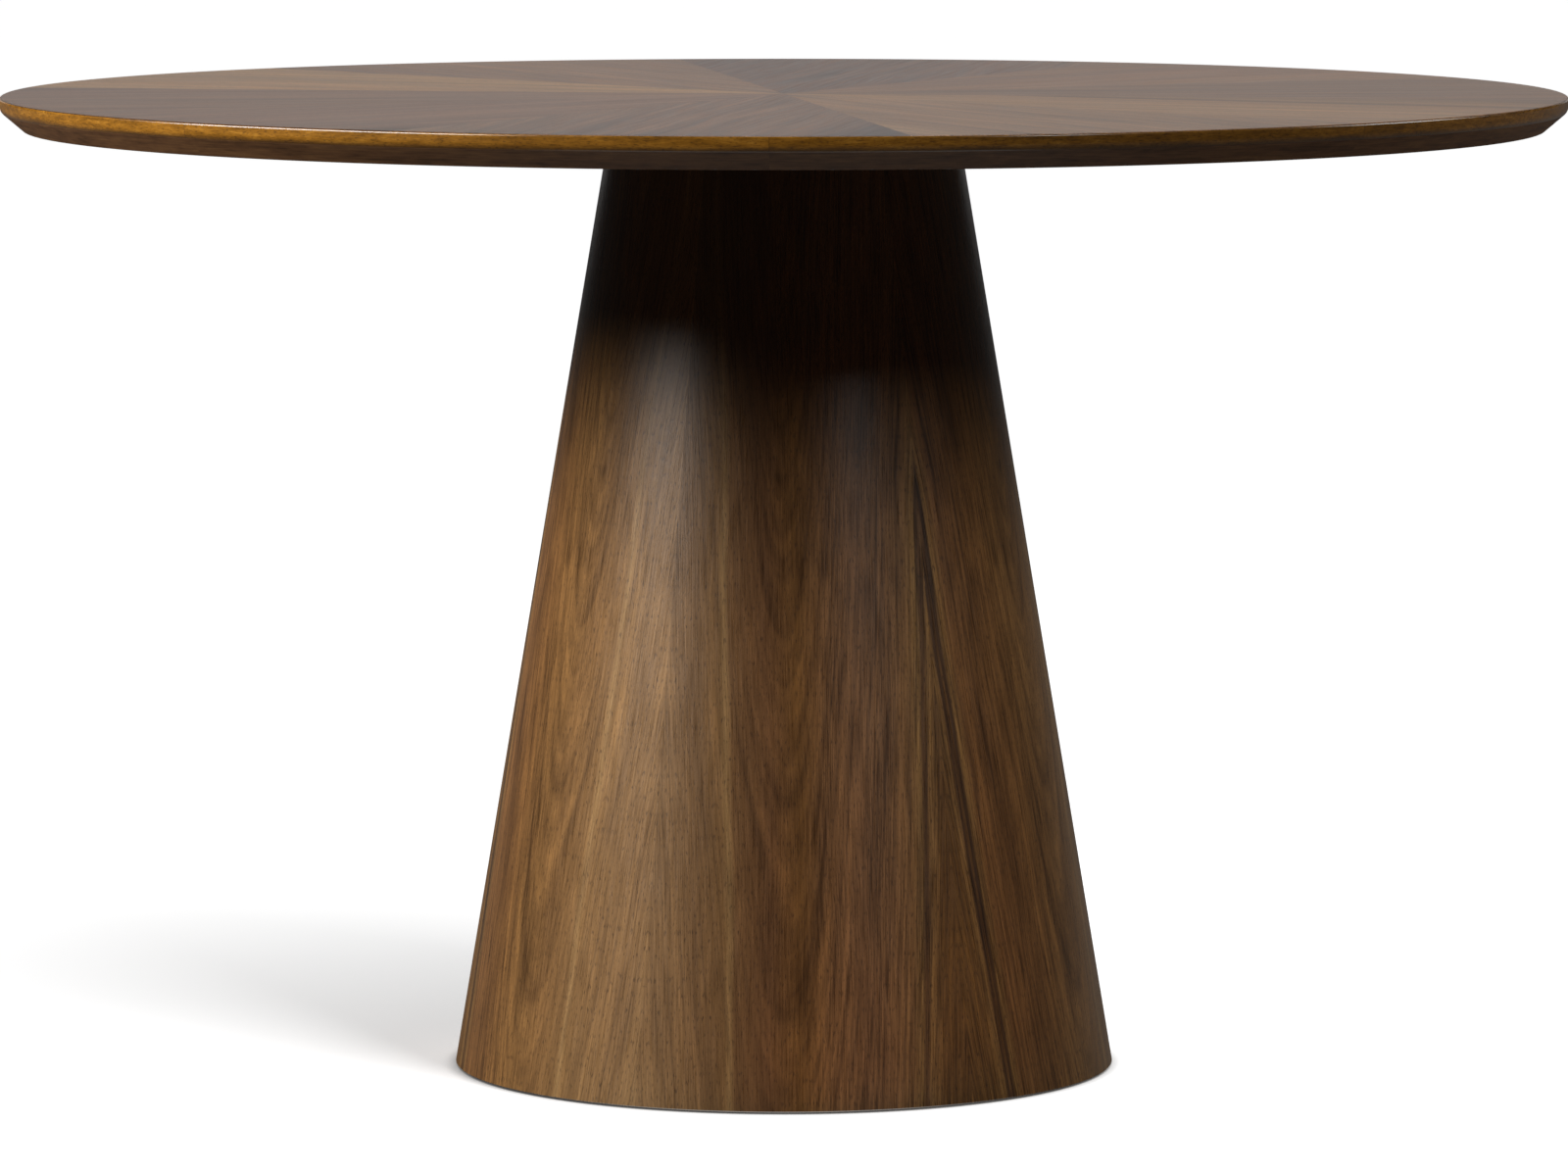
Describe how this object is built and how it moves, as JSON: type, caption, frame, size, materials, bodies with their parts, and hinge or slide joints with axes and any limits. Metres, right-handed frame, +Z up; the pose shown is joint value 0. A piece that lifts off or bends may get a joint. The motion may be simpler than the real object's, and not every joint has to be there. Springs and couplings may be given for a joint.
{
  "type": "round pedestal table",
  "caption": "Round dining table: radial veneered top with a bevelled solid-wood edge, bolted to a hollow conical veneered pedestal that stands on screw levellers.",
  "frame": {"origin": "on the floor under the centre of the round top", "axes": "+Z up along the pedestal's axis; -Y is the front, +X to the right seen from the front"},
  "size_m": [1.219, 1.219, 0.762],
  "materials": {
    "walnut_face": "satin lacquered walnut veneer",
    "walnut_pedestal": "satin lacquered walnut veneer",
    "stained_edge": "amber stained solid wood, satin lacquer",
    "backing": "sealed backing veneer",
    "fibreboard": "raw fibreboard",
    "plywood": "raw plywood",
    "softwood": "planed softwood",
    "black_steel": "black primer",
    "zinc_steel": "zinc plated",
    "nylon": "moulded, matt"
  },
  "bodies": {
    "root": {"ballast_ring": "black_steel", "ballast_screws": "zinc_steel", "base_ring": "plywood", "batten_01": "softwood", "batten_02": "softwood", "batten_03": "softwood", "batten_04": "softwood", "batten_05": "softwood", "batten_06": "softwood", "edge_lipping_01": "stained_edge", "edge_lipping_02": "stained_edge", "edge_lipping_03": "stained_edge", "edge_lipping_04": "stained_edge", "edge_lipping_05": "stained_edge", "edge_lipping_06": "stained_edge", "edge_lipping_07": "stained_edge", "edge_lipping_08": "stained_edge", "head_plate": "plywood", "leveller_nuts": "zinc_steel", "middle_ring": "plywood", "pedestal_leaf_01": "walnut_pedestal", "pedestal_leaf_02": "walnut_pedestal", "pedestal_leaf_03": "walnut_pedestal", "pedestal_leaf_04": "walnut_pedestal", "pedestal_leaf_05": "walnut_pedestal", "pedestal_leaf_06": "walnut_pedestal", "pedestal_panel_01": "plywood", "pedestal_panel_02": "plywood", "pedestal_panel_03": "plywood", "pedestal_panel_04": "plywood", "pedestal_panel_05": "plywood", "pedestal_panel_06": "plywood", "threaded_inserts": "zinc_steel", "top_backing_veneer": "backing", "top_bolt_washers": "zinc_steel", "top_bolts": "zinc_steel", "top_core": "fibreboard", "top_leaf_01": "walnut_face", "top_leaf_02": "walnut_face", "top_leaf_03": "walnut_face", "top_leaf_04": "walnut_face", "top_leaf_05": "walnut_face", "top_leaf_06": "walnut_face", "top_leaf_07": "walnut_face", "top_leaf_08": "walnut_face", "top_leaf_09": "walnut_face", "top_leaf_10": "walnut_face"},
    "leveller_pad_1": {"leveller_pad_1": "nylon"},
    "leveller_stem_1": {"leveller_stem_1": "zinc_steel"},
    "leveller_pad_2": {"leveller_pad_2": "nylon"},
    "leveller_stem_2": {"leveller_stem_2": "zinc_steel"},
    "leveller_pad_3": {"leveller_pad_3": "nylon"},
    "leveller_stem_3": {"leveller_stem_3": "zinc_steel"},
    "leveller_pad_4": {"leveller_pad_4": "nylon"},
    "leveller_stem_4": {"leveller_stem_4": "zinc_steel"}
  },
  "joints": [
    {"name": "leveller_1_height", "type": "slide", "parent": "root", "child": "leveller_pad_1", "axis": [0, 0, -1], "range_m": [0, 0.01]},
    {"name": "leveller_1_turn", "type": "hinge", "parent": "leveller_pad_1", "child": "leveller_stem_1", "pos_m": [0.20589, 0.07089, 0.0265], "axis": [0, 0, -1], "range_deg": [0, 2880]},
    {"name": "leveller_2_height", "type": "slide", "parent": "root", "child": "leveller_pad_2", "axis": [0, 0, -1], "range_m": [0, 0.01]},
    {"name": "leveller_2_turn", "type": "hinge", "parent": "leveller_pad_2", "child": "leveller_stem_2", "pos_m": [-0.07089, 0.20589, 0.0265], "axis": [0, 0, -1], "range_deg": [0, 2880]},
    {"name": "leveller_3_height", "type": "slide", "parent": "root", "child": "leveller_pad_3", "axis": [0, 0, -1], "range_m": [0, 0.01]},
    {"name": "leveller_3_turn", "type": "hinge", "parent": "leveller_pad_3", "child": "leveller_stem_3", "pos_m": [-0.20589, -0.07089, 0.0265], "axis": [0, 0, -1], "range_deg": [0, 2880]},
    {"name": "leveller_4_height", "type": "slide", "parent": "root", "child": "leveller_pad_4", "axis": [0, 0, -1], "range_m": [0, 0.01]},
    {"name": "leveller_4_turn", "type": "hinge", "parent": "leveller_pad_4", "child": "leveller_stem_4", "pos_m": [0.07089, -0.20589, 0.0265], "axis": [0, 0, -1], "range_deg": [0, 2880]}
  ],
  "couplings": [
    {"joint": "leveller_1_height", "follows": "leveller_1_turn", "m_per_rad": 0.00019894},
    {"joint": "leveller_2_height", "follows": "leveller_2_turn", "m_per_rad": 0.00019894},
    {"joint": "leveller_3_height", "follows": "leveller_3_turn", "m_per_rad": 0.00019894},
    {"joint": "leveller_4_height", "follows": "leveller_4_turn", "m_per_rad": 0.00019894}
  ]
}
